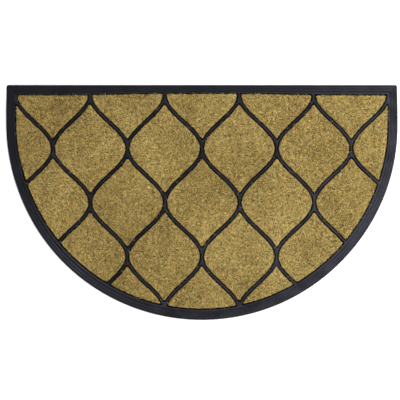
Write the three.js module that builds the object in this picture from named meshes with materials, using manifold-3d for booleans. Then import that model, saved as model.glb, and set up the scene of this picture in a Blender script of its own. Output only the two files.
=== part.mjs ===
// Half round doormat: panels of cut coir set into the pockets of one moulded rubber tray.
//
// Millimetres, +Z up, the straight edge towards +Y and the round edge towards -Y.
// The origin is on the floor, under the middle of the mat.

import * as THREE from 'three';
import Module from 'manifold-3d';
import { mergeVertices } from 'three/addons/utils/BufferGeometryUtils.js';

const wasm = await Module();
wasm.setup();

// The mat's outline: a half circle under two short straight sides
const MAT_WIDTH = 762;
const MAT_DEPTH = 457.2;
const RIM_RADIUS = MAT_WIDTH / 2;
const STRAIGHT_EDGE_Y = MAT_DEPTH / 2;
const RIM_CENTRE_Y = RIM_RADIUS - MAT_DEPTH / 2;
const CORNER_RADIUS = 3.5;
const LEAST_CORNER_RADIUS = 0.8;

// How the soft moulding lies: its top corners draw in, and its round part leans to one side
const CORNER_DRAW_IN = 1;
const CORNER_DRAW_IN_DEPTH = 54;
const LEAN = 0.9;
const LEAN_MIDDLE_Y = 20;
const LEAN_REACH = 170;

// Heights above the floor
const FLOOR_THICKNESS = 2.5;
const RIB_TOP = 8.5;
const COIR_TOP = 11;

// The border, from its outer edge inwards: how far in each line runs, and how high
const BORDER_WIDTH = 19.2;
const BORDER_PROFILE = [
  { line: 'foot', inset: 0, height: 0 },
  { line: 'outer edge', inset: 0, height: 1.7 },
  { line: 'rounded edge', inset: 0.8, height: 2.5 },
  { line: 'outer land', inset: 2.6, height: 3 },
  { line: 'first groove', inset: 4.4, height: 2.6 },
  { line: 'first ridge', inset: 6.8, height: 4.4 },
  { line: 'second groove', inset: 8.8, height: 4 },
  { line: 'second ridge', inset: 11.9, height: 6.1 },
  { line: 'third groove', inset: 14.7, height: 5.7 },
  { line: 'bead, outer side', inset: 16.6, height: 7.9 },
  { line: 'bead, inner side', inset: 18, height: 8.1 },
  { line: 'rib level', inset: 18.6, height: RIB_TOP },
];

// How the border's width varies: wider round the arc, narrower along the middle of the straight edge
const ARC_WIDENING = 0.09;
const ARC_EASE = Math.PI / 6;
const TOP_NARROWING = 0.135;
const TOP_NARROW_HALF = 90;
const TOP_EASE = 150;

// The ribs: an all-over ogee trellis, five cells to the mat's width and two to its depth
const CELLS_ACROSS = 5;
const CELL_WIDTH = (MAT_WIDTH - 2 * BORDER_WIDTH) / CELLS_ACROSS;
const CELL_ROWS = 3;
const CELL_HEIGHT = (MAT_DEPTH - 2 * BORDER_WIDTH) / (CELL_ROWS - 1);
const TRELLIS_TOP_Y = STRAIGHT_EDGE_Y - BORDER_WIDTH;
const RIB_WIDTH = 5.8;
const RIB_ROUNDING = 0.9;
const RIB_ROUNDING_DEPTH = 1.6;
const POCKET_TIP = 1.8;

// The coir panels, and the room around them
const PANEL_SIDE_GAP = 0.9;
const PANEL_RIM_GAP = 1.6;
const PANEL_FLOOR_GAP = 0.3;
const PANEL_ROUNDING = 2;
const PANEL_ROUNDING_DEPTH = 2.4;
const PANEL_TIP = 1.6;
const LEAST_PANEL_VOLUME = 3000;

// Steps along the curves
const RIM_STEPS = 64;
const SIDE_STEPS = 4;
const STRAIGHT_EDGE_STEPS = 24;
const CORNER_STEPS = 3;
const RIB_STEPS = 18;
const TIP_SEARCH_STEPS = 40;
const OVERRUN = 1;
const MERGE_DISTANCE = 1e-4;

const RUBBER = { color: 0x2d2d32, roughness: 0.6, metalness: 0 };
const COIR = { color: 0xa08748, roughness: 0.95, metalness: 0 };

// Moves a point of the drawing to where the soft mat really lies.
function lie(point) {
  const above = (point.y - STRAIGHT_EDGE_Y + CORNER_DRAW_IN_DEPTH) / CORNER_DRAW_IN_DEPTH;
  const drawnIn = (CORNER_DRAW_IN / RIM_RADIUS) * THREE.MathUtils.smoothstep(above, 0, 1);
  const reach = THREE.MathUtils.clamp((point.y - LEAN_MIDDLE_Y) / LEAN_REACH, -1, 1);
  const lean = (LEAN * (1 + Math.cos(Math.PI * reach))) / 2;
  return new THREE.Vector2(point.x * (1 - drawnIn) + lean, point.y);
}

// The points of an arc, from one angle to another.
function arcPoints(x, y, radius, from, to, steps) {
  const points = [];
  for (let i = 0; i <= steps; i += 1) {
    const angle = from + ((to - from) * i) / steps;
    points.push(new THREE.Vector2(x + radius * Math.cos(angle), y + radius * Math.sin(angle)));
  }
  return points;
}

// How much wider the border is at a point than its profile says, as a share.
function borderWidening(point) {
  if (point.y < RIM_CENTRE_Y) {
    const angle = Math.atan2(RIM_CENTRE_Y - point.y, Math.abs(point.x));
    return ARC_WIDENING * THREE.MathUtils.smoothstep(angle, 0, ARC_EASE);
  }
  const ease = THREE.MathUtils.smoothstep(Math.abs(point.x), TOP_NARROW_HALF, TOP_NARROW_HALF + TOP_EASE);
  return -TOP_NARROWING * (1 - ease);
}

// Moves a point of the outline inwards by the border's extra width there.
function widen(point, inset) {
  const extra = inset * borderWidening(point);
  if (point.y >= RIM_CENTRE_Y) {
    return new THREE.Vector2(point.x, point.y - extra);
  }
  const radius = Math.hypot(point.x, RIM_CENTRE_Y - point.y);
  const scale = 1 - extra / radius;
  return new THREE.Vector2(point.x * scale, RIM_CENTRE_Y + (point.y - RIM_CENTRE_Y) * scale);
}

// The mat's outline moved in by inset, anticlockwise from the top left corner.
function matRing(inset) {
  const halfWidth = RIM_RADIUS - inset;
  const top = STRAIGHT_EDGE_Y - inset;
  const corner = Math.max(CORNER_RADIUS - inset, LEAST_CORNER_RADIUS);
  const sideTop = top - corner;
  const points = arcPoints(-halfWidth + corner, sideTop, corner, Math.PI / 2, Math.PI, CORNER_STEPS);
  for (let i = 1; i < SIDE_STEPS; i += 1) {
    points.push(new THREE.Vector2(-halfWidth, THREE.MathUtils.lerp(sideTop, RIM_CENTRE_Y, i / SIDE_STEPS)));
  }
  points.push(...arcPoints(0, RIM_CENTRE_Y, halfWidth, Math.PI, 2 * Math.PI, RIM_STEPS));
  for (let i = 1; i < SIDE_STEPS; i += 1) {
    points.push(new THREE.Vector2(halfWidth, THREE.MathUtils.lerp(RIM_CENTRE_Y, sideTop, i / SIDE_STEPS)));
  }
  points.push(...arcPoints(halfWidth - corner, sideTop, corner, 0, Math.PI / 2, CORNER_STEPS));
  const half = halfWidth - corner;
  for (let i = 1; i < STRAIGHT_EDGE_STEPS; i += 1) {
    points.push(new THREE.Vector2(THREE.MathUtils.lerp(half, -half, i / STRAIGHT_EDGE_STEPS), top));
  }
  return points.map((point) => lie(widen(point, inset)));
}

// A point of a cell's right-hand edge, at a height above the cell's middle, moved in by inset.
function cellEdge(height, inset) {
  const turn = (2 * Math.PI) / CELL_HEIGHT;
  const x = (CELL_WIDTH / 4) * (1 + Math.cos(turn * height));
  const slope = -(CELL_WIDTH / 4) * turn * Math.sin(turn * height);
  const length = Math.hypot(1, slope);
  return new THREE.Vector2(x - inset / length, height + (inset * slope) / length);
}

// How far above the cell's middle its narrowing edge is still as wide as the blunt tip.
function tipHeight(inset, tip) {
  let low = 0;
  let high = CELL_HEIGHT / 2;
  for (let i = 0; i < TIP_SEARCH_STEPS; i += 1) {
    const middle = (low + high) / 2;
    if (cellEdge(middle, inset).x > tip) {
      low = middle;
    } else {
      high = middle;
    }
  }
  return low;
}

// The outline of one pointed-oval cell moved in by inset, anticlockwise from its lower right.
function cellRing(centre, inset, tip) {
  const reach = tipHeight(inset, tip);
  const right = [];
  for (let i = 0; i <= RIB_STEPS; i += 1) {
    right.push(cellEdge(THREE.MathUtils.lerp(-reach, reach, i / RIB_STEPS), inset));
  }
  const left = right.map((point) => new THREE.Vector2(-point.x, point.y)).reverse();
  return [...right, ...left].map((point) => lie(point.add(centre)));
}

// A closed solid through rings of equal length, each at its own height.
function loft(rings, heights) {
  const count = rings[0].length;
  const positions = [];
  rings.forEach((ring, level) => {
    ring.forEach((point) => positions.push(point.x, point.y, heights[level]));
  });
  const indices = [];
  for (let level = 0; level + 1 < rings.length; level += 1) {
    for (let i = 0; i < count; i += 1) {
      const a = level * count + i;
      const b = level * count + ((i + 1) % count);
      indices.push(a, b, b + count, a, b + count, a + count);
    }
  }
  const top = (rings.length - 1) * count;
  for (const [a, b, c] of THREE.ShapeUtils.triangulateShape(rings[0], [])) {
    indices.push(c, b, a);
  }
  for (const [a, b, c] of THREE.ShapeUtils.triangulateShape(rings[rings.length - 1], [])) {
    indices.push(top + a, top + b, top + c);
  }
  const geometry = new THREE.BufferGeometry();
  geometry.setAttribute('position', new THREE.Float32BufferAttribute(positions, 3));
  geometry.setIndex(indices);
  return mergeVertices(geometry, MERGE_DISTANCE);
}

// A closed geometry as a solid that can be joined and cut.
function solidOf(geometry) {
  const vertProperties = new Float32Array(geometry.attributes.position.array);
  const triVerts = new Uint32Array(geometry.index.array);
  return new wasm.Manifold(new wasm.Mesh({ numProp: 3, vertProperties, triVerts }));
}

// A cut solid back as a geometry.
function geometryOf(solid) {
  const mesh = solid.getMesh();
  const geometry = new THREE.BufferGeometry();
  geometry.setAttribute('position', new THREE.Float32BufferAttribute(mesh.vertProperties, 3));
  geometry.setIndex([...mesh.triVerts]);
  geometry.computeVertexNormals();
  return geometry;
}

function namedMesh(name, geometry, look) {
  const mesh = new THREE.Mesh(geometry, new THREE.MeshStandardMaterial(look));
  mesh.name = name;
  return mesh;
}

// The middles of the trellis cells: every other column starts half a cell lower.
function cellCentres() {
  const centres = [];
  for (let column = -CELLS_ACROSS; column <= CELLS_ACROSS; column += 1) {
    const start = column % 2 === 0 ? 0 : CELL_HEIGHT / 2;
    for (let row = 0; row < CELL_ROWS; row += 1) {
      const y = TRELLIS_TOP_Y - start - row * CELL_HEIGHT;
      centres.push({ column: column + CELLS_ACROSS, row, at: new THREE.Vector2((column * CELL_WIDTH) / 2, y) });
    }
  }
  return centres;
}

// The coir of one cell: upright sides, and a worn, rounded top edge.
function panelSolid(centre, field) {
  const inset = RIB_WIDTH / 2 + PANEL_SIDE_GAP;
  const side = cellRing(centre, inset, PANEL_TIP);
  const rounded = cellRing(centre, inset + PANEL_ROUNDING, PANEL_TIP);
  const bottom = FLOOR_THICKNESS + PANEL_FLOOR_GAP;
  const cell = loft([side, side, rounded], [bottom, COIR_TOP - PANEL_ROUNDING_DEPTH, COIR_TOP]);
  return solidOf(cell).intersect(field);
}

// All that the border leaves for coir.
function panelField() {
  const inset = BORDER_WIDTH + PANEL_RIM_GAP;
  const side = matRing(inset);
  const rounded = matRing(inset + PANEL_ROUNDING);
  const bottom = FLOOR_THICKNESS + PANEL_FLOOR_GAP - OVERRUN;
  const field = loft([side, side, rounded], [bottom, COIR_TOP - PANEL_ROUNDING_DEPTH, COIR_TOP]);
  return solidOf(field);
}

// The pocket that the moulding leaves for one cell, wider at the top where the ribs are rounded.
function pocketSolid(centre, field) {
  const wall = cellRing(centre, RIB_WIDTH / 2, POCKET_TIP);
  const mouth = cellRing(centre, RIB_WIDTH / 2 - RIB_ROUNDING, POCKET_TIP);
  const heights = [FLOOR_THICKNESS, RIB_TOP - RIB_ROUNDING_DEPTH, RIB_TOP];
  return solidOf(loft([wall, wall, mouth, mouth], [...heights, RIB_TOP + OVERRUN])).intersect(field);
}

// All that lies inside the border's inner wall.
function pocketField() {
  const wall = matRing(BORDER_WIDTH);
  return solidOf(loft([wall, wall], [FLOOR_THICKNESS - OVERRUN, RIB_TOP + 2 * OVERRUN]));
}

// The moulding before its pockets are cut: the ridged border around a plain top.
function moulding() {
  const rings = BORDER_PROFILE.map((row) => matRing(row.inset));
  const heights = BORDER_PROFILE.map((row) => row.height);
  return solidOf(loft(rings, heights));
}

function buildMat() {
  const mat = new THREE.Group();
  const coirRoom = panelField();
  const pocketRoom = pocketField();
  let tray = moulding();
  for (const { column, row, at } of cellCentres()) {
    const panel = panelSolid(at, coirRoom);
    if (panel.volume() > LEAST_PANEL_VOLUME) {
      tray = tray.subtract(pocketSolid(at, pocketRoom));
      mat.add(namedMesh(`coir_panel_c${column}_r${row}`, geometryOf(panel), COIR));
    }
  }
  mat.add(namedMesh('rubber_tray', geometryOf(tray), RUBBER));
  return mat;
}

export default buildMat();
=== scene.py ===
# Half round doormat: coir panels in a moulded black rubber tray, seen from straight above.
import math

import bpy
import numpy as np
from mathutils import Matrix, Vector
from mathutils.geometry import delaunay_2d_cdt


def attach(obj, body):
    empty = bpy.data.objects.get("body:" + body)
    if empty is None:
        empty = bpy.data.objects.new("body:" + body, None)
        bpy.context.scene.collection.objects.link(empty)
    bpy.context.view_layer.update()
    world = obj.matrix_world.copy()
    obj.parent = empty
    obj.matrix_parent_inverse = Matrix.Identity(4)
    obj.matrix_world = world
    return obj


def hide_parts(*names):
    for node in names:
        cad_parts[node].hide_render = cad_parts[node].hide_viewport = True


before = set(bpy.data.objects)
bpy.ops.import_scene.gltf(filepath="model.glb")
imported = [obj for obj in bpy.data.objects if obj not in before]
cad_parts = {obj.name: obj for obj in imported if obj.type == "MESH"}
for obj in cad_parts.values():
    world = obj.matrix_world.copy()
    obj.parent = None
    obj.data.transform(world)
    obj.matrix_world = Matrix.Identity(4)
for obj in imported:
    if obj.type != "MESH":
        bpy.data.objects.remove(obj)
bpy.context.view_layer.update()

# Sizes are in millimetres up to where a mesh is made, which turns them to metres.
MM = 0.001
SEED = 20261130

# What is added to the seed for the tufts, and for each panel's own draws
TUFT_SEED = 500
PANEL_SEED = 1000

# Smooth uneven fields: the size of their waves, and what is added to the seed to draw them
FIELDS = {
    "border sway": {"size": 60, "seed": 1},
    "rib lift": {"size": 35, "seed": 2},
    "small lumps": {"size": 9, "seed": 3},
    "wide lumps": {"size": 30, "seed": 4},
    "swirl across": {"size": 26, "seed": 5},
    "swirl along": {"size": 26, "seed": 6},
    "rib wobble": {"size": 16, "seed": 10},
    "small rags": {"size": 6, "seed": 100},
    "wide rags": {"size": 22, "seed": 200},
}

# How many waves a field is made of, and how long they are, as shares of its size
WAVES = 7
WAVE_LENGTHS = (0.7, 1.5)

# The photograph's frame: 400 x 400 pixels at one scale, with the mat's middle a little off its centre
IMAGE_SIDE = 400
PIXEL_SIZE = 1.948
MAT_MIDDLE_PIXEL = (201.8, 202.5)
LENS = 85
SENSOR = 36

# How far the camera sees, and how far the floor reaches each way from the middle
VIEW_LIMIT_METRES = 50
FLOOR_REACH = 6000

# The mat's outline, as in the solids
TRAY = "rubber_tray"
MAT_WIDTH = 762
MAT_DEPTH = 457.2
RIM_RADIUS = MAT_WIDTH / 2
STRAIGHT_EDGE_Y = MAT_DEPTH / 2
RIM_CENTRE_Y = RIM_RADIUS - MAT_DEPTH / 2
CORNER_RADIUS = 3.5
LEAST_CORNER_RADIUS = 0.8
CORNER_DRAW_IN = 1
CORNER_DRAW_IN_DEPTH = 54
LEAN = 0.9
LEAN_MIDDLE_Y = 20
LEAN_REACH = 170

# How the border's width varies: wider round the arc, narrower along the middle of the straight edge
ARC_WIDENING = 0.09
ARC_EASE = math.pi / 6
TOP_NARROWING = 0.135
TOP_NARROW_HALF = 90
TOP_EASE = 150

# Heights above the floor
POCKET_FLOOR = 2.5
PANEL_FOOT = 2.8
RIB_TOP = 8.5
PILE_TOP = 10.8
PILE_LIMIT = 11.5

# The border from its outer edge inwards. Between two rows the rubber runs smoothly, so ridges are round.
BORDER_ROWS = [
    {"line": "foot", "inset": 0.3, "height": 0},
    {"line": "outer edge", "inset": 0, "height": 0.4},
    {"line": "outer edge, top", "inset": 0, "height": 1.6},
    {"line": "rounded edge", "inset": 0.8, "height": 2.5},
    {"line": "outer land", "inset": 2.6, "height": 3},
    {"line": "first groove", "inset": 4.4, "height": 2.8},
    {"line": "first ridge", "inset": 6.8, "height": 4.4},
    {"line": "second groove", "inset": 8.8, "height": 4.1},
    {"line": "second ridge", "inset": 11.9, "height": 6.1},
    {"line": "third groove", "inset": 15.2, "height": 6.1},
    {"line": "bead", "inset": 16.8, "height": 8.3},
    {"line": "bead, top", "inset": 17.8, "height": 8.8},
]
BORDER_WIDTH = 19.2
BORDER_STEP = 0.55

# The border's tops sway up and down by this much, in full from this height up
BORDER_SWAY = 0.12
BORDER_SWAY_HEIGHT = 4

# The fine groove where the straight edge's moulding meets the sides', at both top corners: half its width,
# its depth, how far from the outer edge it is cut in full, how far above the floor it stays, and the share
# of its depth that it has lost at the coir
MITRE_HALF_WIDTH = 0.5
MITRE_DEPTH = 2.4
MITRE_START = 1
MITRE_FLOOR = 0.4
MITRE_FADE = 0.5

# The walls of the pockets, which are the sides of the ribs: how far out from the pocket, and how high
RIB_ROWS = [
    {"line": "foot", "out": 0, "height": POCKET_FLOOR},
    {"line": "side", "out": 0.3, "height": 5.8},
    {"line": "side, top", "out": 0.8, "height": 7.1},
    {"line": "shoulder", "out": 1.35, "height": 8},
    {"line": "crest", "out": 1.9, "height": RIB_TOP},
    {"line": "crest, middle", "out": 2.4, "height": 8.65},
]

# How much the ribs' sides wander, the furthest that they go as a share of that, and how much their tops
# rise and fall
RIB_WOBBLE = 0.27
RIB_WOBBLE_LIMIT = 1.3
RIB_LIFT = 0.15

# Beside the border the wall is steeper, so that its bead is broad. How close to the border that is,
# over which distance it changes, and the share of the rows' reach outwards that is left there.
RIM_NEAR = 0.8
RIM_EASE = 4
RIM_REACH = 0.38

# Steps along the outlines
STATION_STEP = 3.2
POCKET_STEP = 2.4
PANEL_STEP = 2
CORNER_STEPS = 4

# How outlines are read and drawn: how level a flat face is, the shortest side that is kept, and the turn
# that stays a sharp corner
LEVEL_TOLERANCE = 0.01
SHORTEST_SIDE = 0.3
SHARP_TURN = math.radians(35)

# An outline that is moved in keeps the points that are at least this share of the move away from where
# it was
KEPT_SHARE = 0.93

# Points closer than this are one for the triangulation, and TINY keeps a division from being by nothing
MERGE_DISTANCE = 1e-7
TINY = 1e-9

# The coir's middle tone, between dark at 0 and pale at 1
MIDDLE_TONE = 0.53

# The coir pads under the cut pile: how far in the rings of their rounded edge lie, the heights where that
# edge starts and ends, how lumpy the top is, and how many times their corners are rounded off
PAD_EDGE_ROUNDING = [0.35, 1, 2.2]
PAD_SHOULDER = 8
PAD_TOP = 9.6
PAD_LUMP = 0.105
PAD_CORNER_WEAR = 2

# A pad's edge is ragged by this much on average, at most three times that, in small and wide rags
PAD_RAGGED = 0.45
RAGS_LIMIT = 3
SMALL_RAGS = 0.7
WIDE_RAGS = 0.3

# The grids that points are strewn on: the pitch of the pads' one, how far it stays from their rounded edge,
# and for all of them the share of the pitch between rows and by which a point may be off
PAD_GRID = 2.4
PAD_GRID_MARGIN = PAD_GRID / 3
GRID_ROW_STEP = 0.866
GRID_SHAKE = 0.32

# The pile's tufts: clumps of fibres that lean together, a little longer up the mat than across it
TUFT_PITCH = 2.6
TUFT_STRETCH = 1.3
TUFT_SHAKE = 0.4
TUFT_LEAN = 0.4
TUFT_RISE = 0.3
TUFT_TONE = 0.06
TUFT_DOME = 0.7

# Spare tufts beyond each side of the mat
TUFT_MARGIN = 2

# The pile's fibres: stiff and cut, drawn thicker and further apart than real ones
FIBRE_PITCH = 1.2
FIBRE_RADIUS = (0.34, 0.52)
FIBRE_SINK = 0.5
FIBRE_LEAN = 0.45
FIBRE_TONE = 0.26
FIBRE_LEAST_RISE = 0.8

# A fibre's foot is square to the fibre, unless the fibre leans more than this
FIBRE_FOOT_SLOPE = 1

# How much the pile's lean swirls over wide patches, and how much its tips swell and scatter in height
SWIRL_LEAN = 0.2
TIP_SWELL = 0.2
TIP_SCATTER = 0.2

# At a panel's edge the fibres lean out and stand lower, from this far in. LEAST_GAP is for those right
# on the edge.
EDGE_REACH = 3.2
EDGE_DROP = 1
LEAST_GAP = 0.05

# How much they lean there and how far over the edge they may hang, by what lies beside them. Each range
# runs from the tufts that reach least to those that reach most.
EDGE_PILE = {
    "rib": {"lean": (0.1, 1.5), "overhang": (-1.5, 1.1)},
    "arc": {"lean": (0.1, 1.5), "overhang": (-1.2, 1.2)},
    "straight": {"lean": (0.9, 2.4), "overhang": (1.1, 3.6)},
}
OVERHANG_SCATTER = 0.3

# A panel's side lies by the border if it is this close to the border's inner edge
RIM_SIDE = 3.2

# Where the four points of a fibre lie in its patch of the UV map, in fibre pitches
FIBRE_PATCH = [(-0.4, -0.3), (0.4, -0.3), (0, -0.05), (0, 0.4)]

# Loose fibres that stick out over the ribs and the border
LOOSE_SPACING = 42
LOOSE_TURN = 1.2
LOOSE_RUN = (3, 9)
LOOSE_FOOT = 9
LOOSE_TIP = (9.3, 10.6)
LOOSE_RADIUS = (0.22, 0.36)
LOOSE_TONE = 0.2

# The clouds and specks of dusty bloom on the rubber, and painted light that greys it towards the lower
# right:
# x and y count by these weights, and while their sum goes over this range, the rubber gets up to this much
# greyer.
BLOOM_CLOUD = 26
BLOOM_SPECK = 2.6
PAINTED_LIGHT_WAY = [1, -0.75, 0]
PAINTED_LIGHT_REACH = (-60, 350)
PAINTED_LIGHT_GREY = 0.28

# Painted highlight: between these heights, on its crests, the rubber is made this much greyer
CREST_HIGHLIGHT_HEIGHTS = (7.9, 8.6)
CREST_HIGHLIGHT_GREY = 0.12

# The grain of the rubber's skin, drawn several times as coarse as the real one so that it shows
RUBBER_GRAIN = 0.9
RUBBER_GRAIN_DEPTH = 0.15

# How the coir's tone varies: the size of the unevenness, how strong it is, and how fine its detail.
# Real fibre ends are about 0.3 mm across, too fine to show, so they are drawn coarser.
COIR_UNEVENNESS = [
    {"of": "fibre ends", "size": 1.6, "strength": 1.08, "detail": 1},
    {"of": "tufts", "size": 6, "strength": 0.07, "detail": 2},
    {"of": "patches", "size": 30, "strength": 0.16, "detail": 2},
    {"of": "whole panels", "size": 140, "strength": 0.27, "detail": 1},
]

# The unevenness is drawn out up the mat, as the pile is
COIR_GRAIN = [1.25, 0.8, 1]

# Dark bits of husk: their size, the noise levels between which they set in, and how dark they are
HUSK_SIZE = 2.4
HUSK_LEVELS = (0.62, 0.7)
HUSK_DEPTH = -0.29

# Painted light: the coir is painted this much paler at the right end than at the left
RIGHT_END_PAINTED_LIGHT = 0.07

# Patches of coir that have aged differently, the tangle of the matted coir, also coarser than real, and the
# faint clouds of the floor's paper
COIR_AGE_PATCH = 11
TANGLE_SIZE = 1.1
TANGLE_DEPTH = 0.8
PAPER_CLOUD = 400

# Softboxes that all face the mat: compass angle from +X, height angle, distance and size in metres, and
# power in watts
SOFTBOXES = [
    {"name": "key_softbox", "angle": 54, "height": 28, "distance": 2.6, "size": 1, "power": 72},
    {"name": "fill_softbox", "angle": 225, "height": 28, "distance": 2.6, "size": 1, "power": 50},
    {"name": "side_softbox", "angle": -24, "height": 28, "distance": 2.6, "size": 1, "power": 42},
    {"name": "overhead_softbox", "angle": 90, "height": 88, "distance": 2.6, "size": 1, "power": 7},
]
ROOM_LIGHT = 0.4


# Outlines

def ripple(points, field, number=0):
    """A smooth uneven field, mostly between -1 and 1, made of waves in random directions."""
    x, y = points[:, 0], points[:, 1]
    random = np.random.default_rng(SEED + FIELDS[field]["seed"] + number)
    height = np.zeros(len(points))
    for _ in range(WAVES):
        angle = random.uniform(0, 2 * math.pi)
        length = FIELDS[field]["size"] * random.uniform(*WAVE_LENGTHS)
        phase = random.uniform(0, 2 * math.pi)
        height += np.sin((x * math.cos(angle) + y * math.sin(angle)) * 2 * math.pi / length + phase)
    return height / math.sqrt(WAVES)


def smooth_share(value, start, reach):
    """0 up to start, 1 from start + reach on, and smooth between."""
    share = np.clip((value - start) / reach, 0, 1)
    return share * share * (3 - 2 * share)


def lie(points):
    """Moves points of the drawing to where the soft mat really lies, as in the solids."""
    x, y = points[:, 0], points[:, 1]
    above = smooth_share(y, STRAIGHT_EDGE_Y - CORNER_DRAW_IN_DEPTH, CORNER_DRAW_IN_DEPTH)
    drawn_in = CORNER_DRAW_IN / RIM_RADIUS * above
    reach = np.clip((y - LEAN_MIDDLE_Y) / LEAN_REACH, -1, 1)
    lean = LEAN * (1 + np.cos(math.pi * reach)) / 2
    return np.column_stack([x * (1 - drawn_in) + lean, y])


def widen(points, inset):
    """Moves an outline's points inwards by the border's extra width there, as in the solids."""
    x, y = points[:, 0], points[:, 1]
    along_arc = y < RIM_CENTRE_Y
    angle = np.arctan2(RIM_CENTRE_Y - y, np.abs(x))
    arc_extra = inset * ARC_WIDENING * smooth_share(angle, 0, ARC_EASE)
    top_extra = -inset * TOP_NARROWING * (1 - smooth_share(np.abs(x), TOP_NARROW_HALF, TOP_EASE))
    shrink = 1 - arc_extra / np.hypot(x, RIM_CENTRE_Y - y)
    return np.column_stack([
        np.where(along_arc, x * shrink, x),
        np.where(along_arc, RIM_CENTRE_Y + (y - RIM_CENTRE_Y) * shrink, y - top_extra),
    ])


def arc(x, y, radius, start, end, steps):
    """The points along an arc, with its two ends."""
    angles = np.linspace(start, end, steps + 1)
    return np.column_stack([x + radius * np.cos(angles), y + radius * np.sin(angles)])


def line(start, end, steps):
    """The points between two points, without the two ends."""
    share = (np.arange(1, steps) / steps)[:, None]
    return np.array(start) * (1 - share) + np.array(end) * share


def mat_ring(inset):
    """The mat's outline moved in by inset, anticlockwise from the top left corner."""
    half = RIM_RADIUS - inset
    top = STRAIGHT_EDGE_Y - inset
    corner = max(CORNER_RADIUS - inset, LEAST_CORNER_RADIUS)
    side_top = top - corner
    side_start = side_top - MITRE_HALF_WIDTH
    edge_start = half - corner - MITRE_HALF_WIDTH
    quarter = math.pi / 2
    side_steps = round((STRAIGHT_EDGE_Y - RIM_CENTRE_Y) / STATION_STEP)
    rim_steps = round(math.pi * RIM_RADIUS / STATION_STEP)
    edge_steps = round(MAT_WIDTH / STATION_STEP)
    ring = [
        arc(-half + corner, side_top, corner, quarter, 2 * quarter, CORNER_STEPS),
        [(-half, side_start)],
        line((-half, side_start), (-half, RIM_CENTRE_Y), side_steps),
        arc(0, RIM_CENTRE_Y, half, 2 * quarter, 4 * quarter, rim_steps),
        line((half, RIM_CENTRE_Y), (half, side_start), side_steps),
        [(half, side_start)],
        arc(half - corner, side_top, corner, 0, quarter, CORNER_STEPS),
        [(edge_start, top)],
        line((edge_start, top), (-edge_start, top), edge_steps),
        [(-edge_start, top)],
    ]
    return lie(widen(np.vstack(ring), inset))


def mitre_stations(count):
    """How deep in the two corners' V shaped grooves each point of the mat's outline lies, from 0 to 1."""
    side_points = 2 * round((STRAIGHT_EDGE_Y - RIM_CENTRE_Y) / STATION_STEP)
    rim_points = round(math.pi * RIM_RADIUS / STATION_STEP) + 1
    second = CORNER_STEPS + 1 + side_points + rim_points
    middle = CORNER_STEPS / 2
    groove = 1 - np.abs(np.arange(CORNER_STEPS + 1) - middle) / (middle + 1)
    grooved = np.zeros(count)
    grooved[:CORNER_STEPS + 1] = groove
    grooved[second:second + CORNER_STEPS + 1] = groove
    return grooved


def signed_area(ring):
    """A closed outline's area, above 0 if it runs anticlockwise."""
    x, y = ring[:, 0], ring[:, 1]
    return float(np.sum(x * np.roll(y, -1) - np.roll(x, -1) * y)) / 2


def flat_loops(node, height):
    """The outlines of a CAD node's flat faces at a height, each anticlockwise."""
    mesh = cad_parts[node].data
    places = [tuple(round(c / MM, 3) for c in v.co) for v in mesh.vertices]
    level = [abs(p[2] - height) < LEVEL_TOLERANCE for p in places]
    edges = set()
    for face in mesh.polygons:
        corners = list(face.vertices)
        if all(level[i] for i in corners):
            keys = [places[i][:2] for i in corners]
            edges.update(zip(keys, keys[1:] + keys[:1]))
    following = {a: b for a, b in sorted(edges) if (b, a) not in edges}
    loops = []
    while following:
        start = min(following)
        loop = [start]
        here = following.pop(start)
        while here != start:
            loop.append(here)
            here = following.pop(here)
        ring = np.array(loop)
        loops.append(ring if signed_area(ring) > 0 else ring[::-1])
    return loops


def smooth_ring(ring, step):
    """A closed outline drawn again with even steps, smooth between its sharp corners."""
    ring = ring[np.linalg.norm(ring - np.roll(ring, 1, 0), axis=1) > SHORTEST_SIDE]
    before = ring - np.roll(ring, 1, 0)
    after = np.roll(ring, -1, 0) - ring
    back, ahead = np.linalg.norm(before, axis=1), np.linalg.norm(after, axis=1)
    turn = np.arctan2(
        before[:, 0] * after[:, 1] - before[:, 1] * after[:, 0], np.sum(before * after, axis=1)
    )
    sharp = np.abs(turn) > SHARP_TURN
    through = (before + after) / (back + ahead)[:, None]
    points = []
    for i in range(len(ring)):
        j = (i + 1) % len(ring)
        start, end, length = ring[i], ring[j], ahead[i]
        leave = after[i] if sharp[i] else through[i] * length
        arrive = after[i] if sharp[j] else through[j] * length
        steps = max(1, round(length / step))
        t = (np.arange(steps) / steps)[:, None]
        points.append(
            start * (2 * t**3 - 3 * t**2 + 1)
            + leave * (t**3 - 2 * t**2 + t)
            + end * (3 * t**2 - 2 * t**3)
            + arrive * (t**3 - t**2)
        )
    return np.vstack(points)


def soften(ring, times):
    """Rounds a closed outline's corners."""
    for _ in range(times):
        ring = ring * 0.5 + (np.roll(ring, 1, 0) + np.roll(ring, -1, 0)) * 0.25
    return ring


def outward(ring):
    """The outward direction at each point of an anticlockwise outline."""
    along = np.roll(ring, -1, 0) - np.roll(ring, 1, 0)
    along /= np.linalg.norm(along, axis=1)[:, None]
    return np.column_stack([along[:, 1], -along[:, 0]])


def inside(points, ring):
    """Which points lie inside a closed outline."""
    x, y = points[:, 0:1], points[:, 1:2]
    x0, y0 = ring[:, 0], ring[:, 1]
    x1, y1 = np.roll(x0, -1), np.roll(y0, -1)
    rises = (y0 > y) != (y1 > y)
    run = np.where(y1 == y0, TINY, y1 - y0)
    crossed = rises & (x < (x1 - x0) * (y - y0) / run + x0)
    return crossed.sum(axis=1) % 2 == 1


def nearest(points, ring):
    """For each point the distance to a closed outline, the outline's nearest place, and its side there."""
    start = ring[None, :, :]
    side = np.roll(ring, -1, 0)[None, :, :] - start
    offset = points[:, None, :] - start
    share = np.clip((offset * side).sum(2) / np.maximum((side * side).sum(2), TINY), 0, 1)
    gap = np.linalg.norm(offset - side * share[:, :, None], axis=2)
    best = gap.argmin(axis=1)
    rows = np.arange(len(points))
    place = ring[best] + side[0][best] * share[rows, best][:, None]
    return gap[rows, best], place, best


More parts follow.
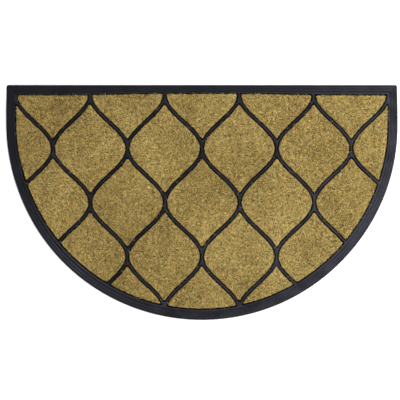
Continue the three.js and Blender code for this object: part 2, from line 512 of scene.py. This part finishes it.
def moved_in(ring, inset):
    """An outline moved inwards, without the points that would come too close to another of its sides."""
    moved = ring - outward(ring) * np.broadcast_to(inset, len(ring))[:, None]
    gap, _, _ = nearest(moved, ring)
    return moved[inside(moved, ring) & (gap > inset * KEPT_SHARE)]


def triangles_over(points, rings):
    """Triangles over points that keep every ring's edges, as index triples into points."""
    edges = []
    for first, count in rings:
        edges += [(first + i, first + (i + 1) % count) for i in range(count)]
    found = delaunay_2d_cdt([tuple(p) for p in points], edges, [], 0, MERGE_DISTANCE)
    origin = [ids[0] if ids else -1 for ids in found[3]]
    if min(origin) < 0:
        raise ValueError("an outline crosses itself or another one")
    return np.array([[origin[i] for i in face] for face in found[2]])


def cap(ring, first, up=True):
    """Flat triangles that close an outline whose points start at index first in the mesh."""
    triangles = triangles_over(ring, [(0, len(ring))])
    triangles = triangles[inside(ring[triangles].mean(axis=1), ring)] + first
    return (triangles if up else triangles[:, ::-1]).tolist()


# Meshes

def mesh_object(name, points, faces, material, smooth=True):
    """Makes a mesh from points in millimetres."""
    mesh = bpy.data.meshes.new(name)
    mesh.from_pydata(np.asarray(points, dtype=float) * MM, [], faces)
    mesh.update()
    mesh.materials.append(material)
    mesh.polygons.foreach_set("use_smooth", [smooth] * len(mesh.polygons))
    made = bpy.data.objects.new(name, mesh)
    bpy.context.scene.collection.objects.link(made)
    return made


def set_tones(piece, tones):
    """Gives each point of a coir piece its own tone, which its material reads."""
    values = piece.data.attributes.new("tone", "FLOAT", "POINT").data
    values.foreach_set("value", tones.astype(np.float32))


def band(first, second, count):
    """Faces between two rings of the same length, given each ring's first index.

    With the lower ring first they face outwards, with the upper ring first inwards.
    """
    i = np.arange(count)
    j = (i + 1) % count
    return np.column_stack([first + i, first + j, second + j, second + i]).tolist()


# Materials

def linear(code):
    """An sRGB hex colour as the linear values that shaders take."""
    channels = [int(code[i:i + 2], 16) / 255 for i in (1, 3, 5)]
    return [c / 12.92 if c <= 0.04045 else ((c + 0.055) / 1.055) ** 2.4 for c in channels] + [1]


def add_node(tree, kind, inputs=(), **settings):
    """Adds a node. inputs pairs each socket with a number or list, or with (node, output) to link it to."""
    node = tree.nodes.new(kind)
    for name, value in settings.items():
        setattr(node, name, value)
    for socket, value in inputs:
        if isinstance(value, tuple):
            tree.links.new(value[0].outputs[value[1]], node.inputs[socket])
        else:
            node.inputs[socket].default_value = value
    return node


def set_stops(ramp_node, stops):
    """Sets a colour ramp from {position: sRGB hex}."""
    elements = ramp_node.color_ramp.elements
    while len(elements) < len(stops):
        elements.new(0.5)
    for element, (position, code) in zip(elements, sorted(stops.items())):
        element.position = position
        element.color = linear(code)


def new_material(name):
    """A node material with its shader and the object's own coordinates in metres."""
    material = bpy.data.materials.new(name)
    material.use_nodes = True
    tree = material.node_tree
    shader = tree.nodes["Principled BSDF"]
    place = add_node(tree, "ShaderNodeTexCoord")
    return material, tree, shader, place


def waves_per_metre(millimetres):
    """The noise scale whose features are about this size."""
    return 1 / (millimetres * MM)


def painted_light_grey(tree, here):
    """How much greyer the rubber is painted: towards the lower right as painted light, and on its crests as
    a painted highlight.
    """
    # Painted light: greyer towards the lower right
    across = add_node(tree, "ShaderNodeVectorMath", [(0, here), (1, PAINTED_LIGHT_WAY)], operation="DOT_PRODUCT")
    painted_lower_right_light = add_node(tree, "ShaderNodeMapRange", [
        ("Value", (across, "Value")), ("From Min", PAINTED_LIGHT_REACH[0] * MM), ("From Max", PAINTED_LIGHT_REACH[1] * MM),
        ("To Min", 0), ("To Max", PAINTED_LIGHT_GREY)])
    split = add_node(tree, "ShaderNodeSeparateXYZ", [("Vector", here)])
    # Painted highlight: greyer on the crests, by height
    crest_highlight = add_node(tree, "ShaderNodeMapRange", [
        ("Value", (split, "Z")), ("From Min", CREST_HIGHLIGHT_HEIGHTS[0] * MM), ("From Max", CREST_HIGHLIGHT_HEIGHTS[1] * MM),
        ("To Min", 0), ("To Max", CREST_HIGHLIGHT_GREY)])
    grey = add_node(tree, "ShaderNodeMath", [
        (0, (painted_lower_right_light, "Result")), (1, (crest_highlight, "Result"))], operation="ADD")
    return grey, "Value"


def moulded_rubber():
    """Black rubber, pressed and cured in a smooth steel mould.

    Its skin is near black with a satin shine, so that ridges and crests show as soft lines. A thin dusty
    bloom lies on it in clouds and specks, painted light greys it towards the lower right, and its crests
    carry a painted highlight.
    """
    material, tree, shader, place = new_material("moulded_black_rubber")
    here = (place, "Object")
    cloud = add_node(tree, "ShaderNodeTexNoise", [
        ("Vector", here), ("Scale", waves_per_metre(BLOOM_CLOUD)), ("Detail", 3)])
    dust = add_node(tree, "ShaderNodeTexNoise", [
        ("Vector", here), ("Scale", waves_per_metre(BLOOM_SPECK)), ("Detail", 4), ("Roughness", 0.7)])
    # The dusty bloom, with the painted light and the painted highlight added to it
    bloom_and_painted_light = add_node(tree, "ShaderNodeMath", [
        (0, (cloud, "Fac")), (1, (dust, "Fac")), (2, painted_light_grey(tree, here))], operation="MULTIPLY_ADD")
    tint = add_node(tree, "ShaderNodeValToRGB", [("Fac", (bloom_and_painted_light, "Value"))])
    set_stops(tint, {0.15: "#060609", 0.27: "#0b0b0e", 0.36: "#0f0f13", 0.47: "#1d1d22", 0.7: "#2f2f35"})
    tree.links.new(tint.outputs["Color"], shader.inputs["Base Color"])
    # Where the bloom is thicker, it takes away more of the shine.
    worn = add_node(tree, "ShaderNodeMapRange", [
        ("Value", (cloud, "Fac")), ("From Min", 0.35), ("From Max", 0.65),
        ("To Min", 0.44), ("To Max", 0.6)])
    tree.links.new(worn.outputs["Result"], shader.inputs["Roughness"])
    grain = add_node(tree, "ShaderNodeTexNoise", [
        ("Vector", here), ("Scale", waves_per_metre(RUBBER_GRAIN)), ("Detail", 2)])
    bump = add_node(tree, "ShaderNodeBump", [
        ("Height", (grain, "Fac")), ("Strength", 0.3), ("Distance", RUBBER_GRAIN_DEPTH * MM)])
    tree.links.new(bump.outputs["Normal"], shader.inputs["Normal"])
    shader.inputs["IOR"].default_value = 1.5
    shader.inputs["Specular IOR Level"].default_value = 0.21
    shader.inputs["Specular Tint"].default_value = linear("#e6eaff")
    return material


def coir_tone(tree, here, x):
    """Where in its colours the coir is: its points' own tones, unevenness, husk and painted light towards
    the right end.
    """
    drawn = add_node(tree, "ShaderNodeMapping", [("Vector", here), ("Scale", COIR_GRAIN)])
    tone = (add_node(tree, "ShaderNodeAttribute", attribute_name="tone"), "Fac")
    for row in COIR_UNEVENNESS:
        noise = add_node(tree, "ShaderNodeTexNoise", [
            ("Vector", (drawn, "Vector")), ("Scale", waves_per_metre(row["size"])),
            ("Detail", row["detail"])])
        centred = add_node(tree, "ShaderNodeMath", [(0, (noise, "Fac")), (1, 0.5)], operation="SUBTRACT")
        added = add_node(tree, "ShaderNodeMath", [
            (0, (centred, "Value")), (1, row["strength"]), (2, tone)], operation="MULTIPLY_ADD")
        tone = (added, "Value")
    husk = add_node(tree, "ShaderNodeTexNoise", [
        ("Vector", (drawn, "Vector")), ("Scale", waves_per_metre(HUSK_SIZE)), ("Detail", 0)])
    specks = add_node(tree, "ShaderNodeMapRange", [
        ("Value", (husk, "Fac")), ("From Min", HUSK_LEVELS[0]), ("From Max", HUSK_LEVELS[1]),
        ("To Min", 0), ("To Max", HUSK_DEPTH)])
    specked = add_node(tree, "ShaderNodeMath", [(0, tone), (1, (specks, "Result"))], operation="ADD")
    # Painted light: paler towards the right end
    painted_right_light = add_node(tree, "ShaderNodeMath", [
        (0, x), (1, RIGHT_END_PAINTED_LIGHT / (MAT_WIDTH * MM)), (2, (specked, "Value"))], operation="MULTIPLY_ADD")
    return painted_right_light, "Value"


def coir(name, stops, pit):
    """Coconut fibre, retted, spun, cut and glued down: dry, matt and golden.

    It is uneven from fibre to fibre, turns cooler or warmer with age, and is darker down in the pile, where
    pit gives the heights that the shade lies between and how dark it gets.
    """
    material, tree, shader, place = new_material(name)
    here = (place, "Object")
    split = add_node(tree, "ShaderNodeSeparateXYZ", [("Vector", here)])
    colours = add_node(tree, "ShaderNodeValToRGB", [("Fac", coir_tone(tree, here, (split, "X")))])
    set_stops(colours, stops)
    rise = add_node(tree, "ShaderNodeMapRange", [
        ("Value", (split, "Z")), ("From Min", pit["bottom"] * MM), ("From Max", pit["top"] * MM),
        ("To Min", pit["shade"]), ("To Max", 1)])
    shade = add_node(tree, "ShaderNodeVectorMath", [
        (0, (colours, "Color")), ("Scale", (rise, "Result"))], operation="SCALE")
    age = add_node(tree, "ShaderNodeTexNoise", [
        ("Vector", here), ("Scale", waves_per_metre(COIR_AGE_PATCH)), ("Detail", 4), ("Roughness", 0.7)])
    tinge = add_node(tree, "ShaderNodeValToRGB", [("Fac", (age, "Fac"))])
    set_stops(tinge, {0.3: "#f4ffff", 0.7: "#fff4e6"})
    tinged = add_node(tree, "ShaderNodeVectorMath", [
        (0, (shade, "Vector")), (1, (tinge, "Color"))], operation="MULTIPLY")
    tree.links.new(tinged.outputs["Vector"], shader.inputs["Base Color"])
    shader.inputs["Roughness"].default_value = 0.85
    shader.inputs["IOR"].default_value = 1.45
    shader.inputs["Specular IOR Level"].default_value = 0.3
    return material, tree, shader, here


def coir_fibre():
    """The cut ends: straw coloured where they catch the light, brown where they are stained."""
    stops = {0.1: "#413118", 0.35: "#957b42", 0.55: "#c7ad64", 0.75: "#dccb8a", 1.0: "#e6dcae"}
    return coir("cut_coir_fibre", stops, {"bottom": 9.2, "top": 10.9, "shade": 0.5})[0]


def coir_mass():
    """The felted mass of fibre that shows between the cut ends, with its own tangle as relief."""
    stops = {0.1: "#302411", 0.35: "#6f5a2c", 0.55: "#9e8446", 0.75: "#bfa968", 1.0: "#d0c08a"}
    material, tree, shader, here = coir("matted_coir", stops, {"bottom": 7.5, "top": 9.8, "shade": 0.4})
    tangle = add_node(tree, "ShaderNodeTexNoise", [
        ("Vector", here), ("Scale", waves_per_metre(TANGLE_SIZE)), ("Detail", 4), ("Distortion", 1.5)])
    bump = add_node(tree, "ShaderNodeBump", [
        ("Height", (tangle, "Fac")), ("Strength", 0.8), ("Distance", TANGLE_DEPTH * MM)])
    tree.links.new(bump.outputs["Normal"], shader.inputs["Normal"])
    return material


def pale_floor():
    """Matt white studio paper, rolled out flat, so that the mat lies on an even white."""
    material, tree, shader, place = new_material("white_studio_paper")
    shade = add_node(tree, "ShaderNodeTexNoise", [
        ("Vector", (place, "Object")), ("Scale", waves_per_metre(PAPER_CLOUD)), ("Detail", 1)])
    tone = add_node(tree, "ShaderNodeValToRGB", [("Fac", (shade, "Fac"))])
    set_stops(tone, {0: "#fafafa", 1: "#ffffff"})
    tree.links.new(tone.outputs["Color"], shader.inputs["Base Color"])
    shader.inputs["Roughness"].default_value = 0.9
    return material


# Rubber

def border_profile():
    """The border's rows with smooth steps between the ridges and grooves of the table."""
    rows = [(row["inset"], row["height"]) for row in BORDER_ROWS]
    profile = [rows[0]]
    for (x0, z0), (x1, z1) in zip(rows, rows[1:]):
        steps = max(1, round(abs(x1 - x0) / BORDER_STEP))
        for i in range(1, steps + 1):
            t = i / steps
            profile.append((x0 + (x1 - x0) * t, z0 + (z1 - z0) * t * t * (3 - 2 * t)))
    return profile


def border_points(profile):
    """The rings of the border, swaying a little and grooved at the two mitres."""
    rings = []
    for inset, height in profile:
        ring = mat_ring(inset)
        sway = BORDER_SWAY * ripple(ring, "border sway") * min(1, height / BORDER_SWAY_HEIGHT)
        depth = MITRE_DEPTH * min(1, inset / MITRE_START) * (1 - MITRE_FADE * inset / BORDER_WIDTH)
        groove = min(depth, max(height - MITRE_FLOOR, 0)) * mitre_stations(len(ring))
        rings.append(np.column_stack([ring, height + sway - groove]))
    return rings


def pocket_wall(pocket, number):
    """The rings of one pocket's wall, from its foot up to the crest of the ribs around it."""
    uneven = np.clip(ripple(pocket, "rib wobble", number), -RIB_WOBBLE_LIMIT, RIB_WOBBLE_LIMIT)
    to_rim, _, _ = nearest(pocket, mat_ring(BORDER_WIDTH))
    reach = RIM_REACH + (1 - RIM_REACH) * smooth_share(to_rim, RIM_NEAR, RIM_EASE)
    rings = []
    for row in RIB_ROWS:
        ring = pocket + outward(pocket) * ((row["out"] + RIB_WOBBLE * uneven) * reach)[:, None]
        lift = RIB_LIFT * ripple(ring, "rib lift")
        share = (row["height"] - POCKET_FLOOR) / (RIB_TOP - POCKET_FLOOR)
        rings.append(np.column_stack([ring, row["height"] + lift * share]))
    return rings


def crest_faces(rings, firsts):
    """Triangles over the ribs' crests, which fill the first ring but for the others.

    firsts holds each ring's first index in the mesh.
    """
    outlines = [ring[:, :2] for ring in rings]
    flat = np.vstack(outlines)
    index = np.concatenate([first + np.arange(len(ring)) for first, ring in zip(firsts, rings)])
    starts = np.cumsum([0] + [len(ring) for ring in rings])
    triangles = triangles_over(flat, [(start, len(ring)) for start, ring in zip(starts, rings)])
    middles = flat[triangles].mean(axis=1)
    keep = inside(middles, outlines[0])
    for pocket in outlines[1:]:
        keep &= ~inside(middles, pocket)
    return index[triangles[keep]].tolist()


def build_rubber(material, pockets):
    """One closed moulding: ridged border, flat back, and ribs between the pockets."""
    rings = border_points(border_profile())
    count = len(rings[0])
    total = len(rings) * count
    flat_faces = cap(rings[0][:, :2], 0, up=False)
    faces = []
    for first in range(0, total - count, count):
        faces += band(first, first + count, count)
    crests, crest_firsts = [rings[-1]], [total - count]
    for number, pocket in enumerate(pockets):
        size = len(pocket)
        wall = pocket_wall(pocket, number)
        flat_faces += cap(wall[0][:, :2], total)
        rings += wall
        top = total + (len(wall) - 1) * size
        for first in range(total, top, size):
            faces += band(first + size, first, size)
        crests.append(wall[-1])
        crest_firsts.append(top)
        total = top + size
    faces += crest_faces(crests, crest_firsts)
    made = mesh_object("rubber_moulding", np.vstack(rings), flat_faces + faces, material)
    for polygon in made.data.polygons[:len(flat_faces)]:
        polygon.use_smooth = False
    return made


# Coir

def tuft_field():
    """Every tuft of the pile, by column and row over the mat: its place, lean, height and tone."""
    random = np.random.default_rng(SEED + TUFT_SEED)
    columns = math.ceil(MAT_WIDTH / TUFT_PITCH) + 2 * TUFT_MARGIN
    rows = math.ceil(MAT_DEPTH / TUFT_PITCH / TUFT_STRETCH) + 2 * TUFT_MARGIN
    shape = (columns, rows)
    return {
        "shake": random.uniform(-TUFT_SHAKE, TUFT_SHAKE, (*shape, 2)),
        "lean": random.normal(0, TUFT_LEAN, (*shape, 2)),
        "rise": random.normal(0, TUFT_RISE, shape),
        "tone": random.normal(0, TUFT_TONE, shape),
        "reach": random.uniform(0, 1, shape),
    }


def tuft_of(points, tufts):
    """The column and row of each point's tuft, and how far out in it the point lies, in tuft widths."""
    corner = np.array([-MAT_WIDTH / 2, -MAT_DEPTH / 2])
    scaled = (points - corner) / (TUFT_PITCH, TUFT_PITCH * TUFT_STRETCH) + TUFT_MARGIN
    cell = np.floor(scaled).astype(int)
    best = np.full(len(points), np.inf)
    owner = cell.copy()
    for i in (-1, 0, 1):
        for j in (-1, 0, 1):
            near = cell + (i, j)
            middle = near + 0.5 + tufts["shake"][near[:, 0], near[:, 1]]
            distance = np.linalg.norm(scaled - middle, axis=1)
            closer = distance < best
            best[closer] = distance[closer]
            owner[closer] = near[closer]
    return (owner[:, 0], owner[:, 1]), best


def pad_outline(loop, number):
    """A panel's outline with worn corners and a ragged edge, never wider than its solid."""
    ring = soften(smooth_ring(loop, PANEL_STEP), PAD_CORNER_WEAR)
    small = SMALL_RAGS * (1 + ripple(ring, "small rags", number))
    wide = WIDE_RAGS * (1 + ripple(ring, "wide rags", number))
    return moved_in(ring, np.clip(small + wide, 0, RAGS_LIMIT) * PAD_RAGGED)


def pad_height(points, gap):
    """How high the matted top of a pad is, with a rounded edge and slight lumps."""
    share = np.clip(gap / PAD_EDGE_ROUNDING[-1], 0, 1)
    rounding = np.sqrt(1 - (1 - share) ** 2)
    lumps = PAD_LUMP * (ripple(points, "small lumps") + ripple(points, "wide lumps"))
    return PAD_SHOULDER + (PAD_TOP - PAD_SHOULDER + lumps) * rounding


def grid_inside(ring, pitch, random):
    """Points on a shaken grid inside an outline."""
    low, high = ring.min(0), ring.max(0)
    columns = np.arange(low[0], high[0], pitch)
    rows = np.arange(low[1], high[1], pitch * GRID_ROW_STEP)
    x, y = np.meshgrid(columns, rows)
    x[1::2] += pitch / 2
    points = np.column_stack([x.ravel(), y.ravel()])
    points += random.uniform(-GRID_SHAKE, GRID_SHAKE, points.shape) * pitch
    return points[inside(points, ring)]


def build_pad(name, ring, material, tufts, random):
    """The matted body of one coir panel, a closed solid with a rounded, lumpy top."""
    rows = [moved_in(ring, inset) for inset in PAD_EDGE_ROUNDING]
    middle = grid_inside(ring, PAD_GRID, random)
    gap, _, _ = nearest(middle, ring)
    middle = middle[gap > PAD_EDGE_ROUNDING[-1] + PAD_GRID_MARGIN]
    top = np.vstack([ring, *rows, middle])
    gap, _, _ = nearest(top, ring)
    owner, _ = tuft_of(top, tufts)
    within = np.clip(gap / PAD_EDGE_ROUNDING[-1], 0, 1)
    height = pad_height(top, gap) + tufts["rise"][owner] * within
    triangles = triangles_over(top, [(0, len(ring))])
    triangles = triangles[inside(top[triangles].mean(axis=1), ring)]
    foot, count = len(top), len(ring)
    points = np.vstack([
        np.column_stack([top, height]),
        np.column_stack([ring, np.full(count, PANEL_FOOT)]),
    ])
    faces = triangles.tolist() + band(foot, 0, count) + cap(ring, foot, up=False)
    pad = mesh_object(name, points, faces, material)
    tones = np.concatenate([tufts["tone"][owner], np.zeros(count)])
    set_tones(pad, MIDDLE_TONE + tones)
    return pad


def edge_pile(ring, side, reach, random):
    """How much each fibre leans out at the panel's edge, and how far over the edge it may hang.

    side is each fibre's nearest side of the outline, and reach is how far its tuft reaches, from 0 to 1.
    """
    to_rim, _, _ = nearest(ring, mat_ring(BORDER_WIDTH))
    by_rim = (to_rim < RIM_SIDE)[side]
    by_arc = (ring[:, 1] < RIM_CENTRE_Y)[side]
    chosen = []
    for what in ("lean", "overhang"):
        amount = {kind: np.interp(reach, (0, 1), row[what]) for kind, row in EDGE_PILE.items()}
        at_rim = np.where(by_arc, amount["arc"], amount["straight"])
        chosen.append(np.where(by_rim, at_rim, amount["rib"]))
    lean, hang = chosen
    return lean, hang + random.uniform(0, OVERHANG_SCATTER, len(side))


def standing_fibres(ring, tufts, random):
    """The cut pile of one panel: fibres that lean with their tuft, and out over the edge."""
    roots = grid_inside(ring, FIBRE_PITCH, random)
    gap, place, side = nearest(roots, ring)
    owner, off_middle = tuft_of(roots, tufts)
    count = len(roots)
    edge = np.clip(1 - gap / EDGE_REACH, 0, 1)
    out = (place - roots) / np.maximum(gap, LEAST_GAP)[:, None]
    swirl = np.column_stack([ripple(roots, "swirl across"), ripple(roots, "swirl along")])
    edge_lean, hang = edge_pile(ring, side, tufts["reach"][owner], random)
    lean = tufts["lean"][owner] + swirl * SWIRL_LEAN + random.normal(0, FIBRE_LEAN, (count, 2))
    lean += out * (edge * edge_lean)[:, None]
    foot = pad_height(roots, gap) - FIBRE_SINK
    tip = PILE_TOP - EDGE_DROP * edge ** 2 + tufts["rise"][owner] - TUFT_DOME * off_middle ** 2
    tip += TIP_SWELL * ripple(roots, "wide lumps") + random.normal(0, TIP_SCATTER, count)
    tip = np.maximum(np.minimum(tip, PILE_LIMIT), foot + FIBRE_LEAST_RISE)
    run = lean * (tip - foot)[:, None]
    run -= out * np.maximum((run * out).sum(axis=1) - gap - hang, 0)[:, None]
    return {
        "root": np.column_stack([roots, foot]),
        "tip": np.column_stack([roots + run, tip]),
        "radius": random.uniform(*FIBRE_RADIUS, count),
        "tone": MIDDLE_TONE + tufts["tone"][owner] + random.normal(0, FIBRE_TONE, count),
    }


def loose_fibres(ring, random):
    """A few long stray fibres that lie out over the ribs and the border."""
    length = np.linalg.norm(ring - np.roll(ring, 1, 0), axis=1).sum()
    count = round(length / LOOSE_SPACING)
    pick = random.integers(0, len(ring), count)
    out = outward(ring)[pick]
    turn = random.uniform(-LOOSE_TURN, LOOSE_TURN, count)
    along = np.column_stack([
        out[:, 0] * np.cos(turn) - out[:, 1] * np.sin(turn),
        out[:, 0] * np.sin(turn) + out[:, 1] * np.cos(turn),
    ])
    roots = ring[pick] - out
    run = along * random.uniform(*LOOSE_RUN, count)[:, None]
    return {
        "root": np.column_stack([roots, np.full(count, LOOSE_FOOT)]),
        "tip": np.column_stack([roots + run, random.uniform(*LOOSE_TIP, count)]),
        "radius": random.uniform(*LOOSE_RADIUS, count),
        "tone": np.full(count, MIDDLE_TONE + LOOSE_TONE),
    }


def build_fibres(name, groups, material, random):
    """Thin three-sided spikes, one for each fibre, as one mesh."""
    keys = ("root", "tip", "radius", "tone")
    root, tip, radius, tone = (np.concatenate([group[key] for group in groups]) for key in keys)
    count = len(root)
    axis = tip - root
    slope = axis[:, :2] / axis[:, 2:]
    turn = random.uniform(0, 2 * math.pi, count)
    corners = []
    for i in range(3):
        angle = turn + i * 2 * math.pi / 3
        around = np.column_stack([np.cos(angle), np.sin(angle)]) * radius[:, None]
        fall = -(around * np.clip(slope, -FIBRE_FOOT_SLOPE, FIBRE_FOOT_SLOPE)).sum(axis=1)
        corners.append(root + np.column_stack([around, fall]))
    points = np.stack([*corners, tip], axis=1).reshape(-1, 3)
    first = np.arange(count) * 4
    sides = [(0, 2, 1), (0, 1, 3), (1, 2, 3), (2, 0, 3)]
    faces = np.stack([first[:, None] + np.array(side) for side in sides], axis=1).reshape(-1, 3)
    fibres = mesh_object(name, points, faces, material, smooth=False)
    set_tones(fibres, np.repeat(tone, 4))
    root_map(fibres.data, root[:, :2], faces)
    return fibres


def root_map(mesh, roots, faces):
    """A UV map that gives each fibre its own small patch, where its root lies in the panel."""
    low, high = roots.min(0) - FIBRE_PITCH, roots.max(0) + FIBRE_PITCH
    side = (high - low).max()
    patch = np.array(FIBRE_PATCH) * FIBRE_PITCH
    spots = (roots[:, None, :] + patch[None, :, :] - low) / side
    corners = spots.reshape(-1, 2)[faces.ravel()]
    mesh.uv_layers.new(name="OFBake").data.foreach_set("uv", corners.ravel().astype(np.float32))


def build_panels(matted, cut):
    """A pad and its pile for every coir node of the frame."""
    made = []
    tufts = tuft_field()
    nodes = sorted(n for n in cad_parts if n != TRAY)
    for number, node in enumerate(nodes):
        random = np.random.default_rng(SEED + PANEL_SEED + number)
        loop = flat_loops(node, PANEL_FOOT)[0]
        ring = pad_outline(loop, number)
        tag = node.removeprefix("coir_panel_")
        pad = build_pad("coir_pad_" + tag, ring, matted, tufts, random)
        groups = [standing_fibres(ring, tufts, random), loose_fibres(ring, random)]
        fibres = build_fibres("coir_pile_" + tag, groups, cut, random)
        made.append((node, loop, pad, fibres))
    return made


# The studio

def build_floor():
    """A wide sheet of white paper under the mat."""
    corners = [(x * FLOOR_REACH, y * FLOOR_REACH, 0) for x, y in ((-1, -1), (1, -1), (1, 1), (-1, 1))]
    floor = mesh_object("studio_floor", corners, [(0, 1, 2, 3)], pale_floor())


def build_camera():
    """A long lens straight above, whose frame is the photograph's."""
    data = bpy.data.cameras.new("overhead_camera")
    data.lens = LENS
    data.sensor_width = SENSOR
    height = LENS / SENSOR * IMAGE_SIDE * PIXEL_SIZE
    camera = bpy.data.objects.new("overhead_camera", data)
    x = (IMAGE_SIDE / 2 - MAT_MIDDLE_PIXEL[0]) * PIXEL_SIZE
    y = (MAT_MIDDLE_PIXEL[1] - IMAGE_SIDE / 2) * PIXEL_SIZE
    camera.location = (x * MM, y * MM, height * MM)
    data.clip_end = VIEW_LIMIT_METRES
    bpy.context.scene.collection.objects.link(camera)
    bpy.context.scene.camera = camera


def build_lights():
    """The softboxes and an even white room."""
    for row in SOFTBOXES:
        angle, height = math.radians(row["angle"]), math.radians(row["height"])
        level = math.cos(height)
        way = Vector((level * math.cos(angle), level * math.sin(angle), math.sin(height)))
        place = way * row["distance"]
        data = bpy.data.lights.new(row["name"], "AREA")
        data.size = row["size"]
        data.energy = row["power"]
        lamp = bpy.data.objects.new(row["name"], data)
        lamp.location = place
        lamp.rotation_euler = (-place).to_track_quat("-Z", "Y").to_euler()
        bpy.context.scene.collection.objects.link(lamp)
    world = bpy.data.worlds.new("soft_white_room")
    world.use_nodes = True
    background = world.node_tree.nodes["Background"]
    background.inputs["Color"].default_value = (1, 1, 1, 1)
    background.inputs["Strength"].default_value = ROOM_LIGHT
    bpy.context.scene.world = world
    bpy.context.scene.view_settings.view_transform = "Standard"


def main():
    """Builds the studio and the mat, hangs the mat's pieces under the root body and hides the solids."""
    build_camera()
    build_lights()
    build_floor()
    pockets = [smooth_ring(loop, POCKET_STEP) for loop in flat_loops(TRAY, POCKET_FLOOR)]
    rubber = build_rubber(moulded_rubber(), pockets)
    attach(rubber, "root")
    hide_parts(TRAY)
    for node, loop, pad, fibres in build_panels(coir_mass(), coir_fibre()):
        for piece in (pad, fibres):
            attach(piece, "root")
        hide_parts(node)


main()
